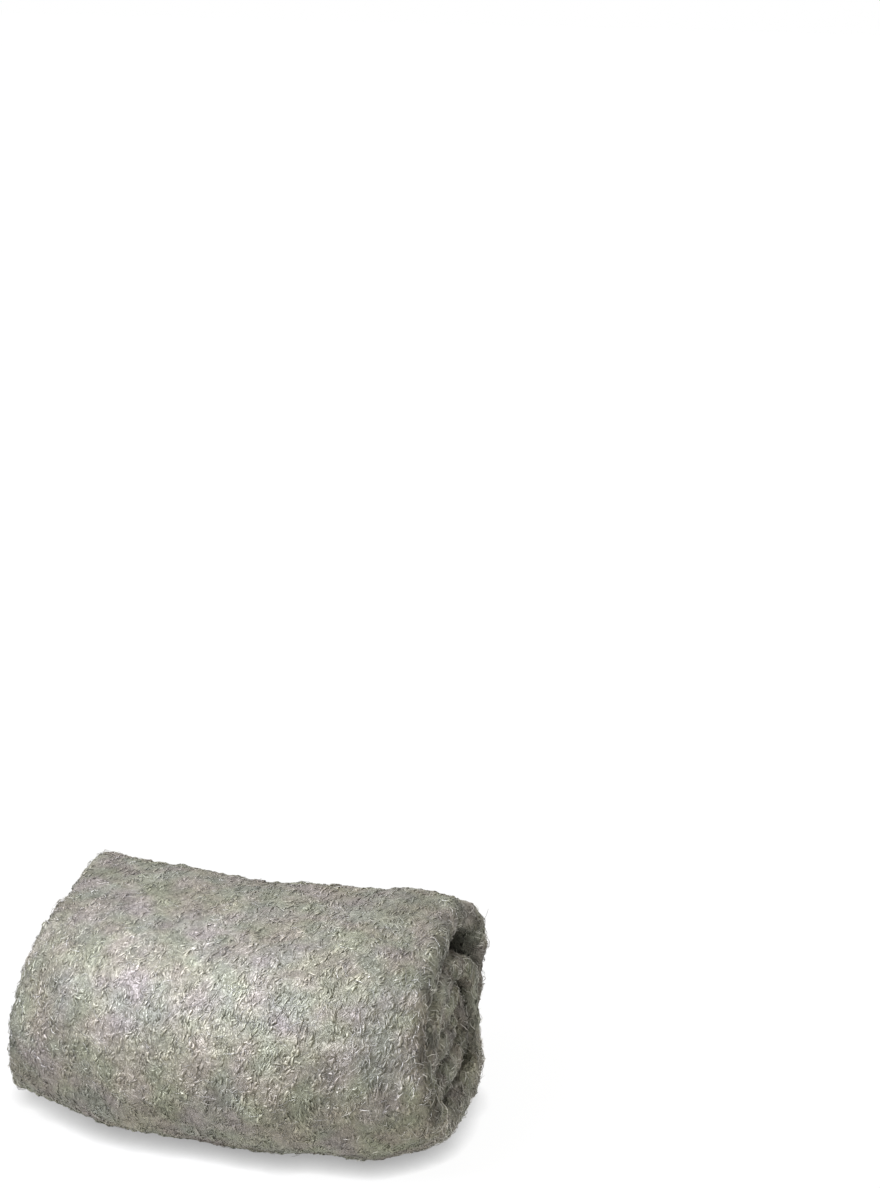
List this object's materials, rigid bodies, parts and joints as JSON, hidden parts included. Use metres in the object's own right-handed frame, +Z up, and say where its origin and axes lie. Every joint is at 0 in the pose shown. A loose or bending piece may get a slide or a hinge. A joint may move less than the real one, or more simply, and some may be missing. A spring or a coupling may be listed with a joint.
{
  "type": "steel wool pad",
  "caption": "Steel wool hand pad: one thick ribbon of fine steel wool wound flat into a soft oval roll, for buffing and cleaning.",
  "frame": {"origin": "middle of the base, on the surface that the pad rests on", "axes": "+X along the roll's axis, -Y towards the side that the picture shows, +Z up"},
  "size_m": [0.1126, 0.0816, 0.0519],
  "materials": {
    "steel_wool": "fine steel fibre, matt as a mass, with single fibres that glint"
  },
  "bodies": {
    "root": {"rolled_wool_ribbon": "steel_wool"}
  },
  "joints": []
}
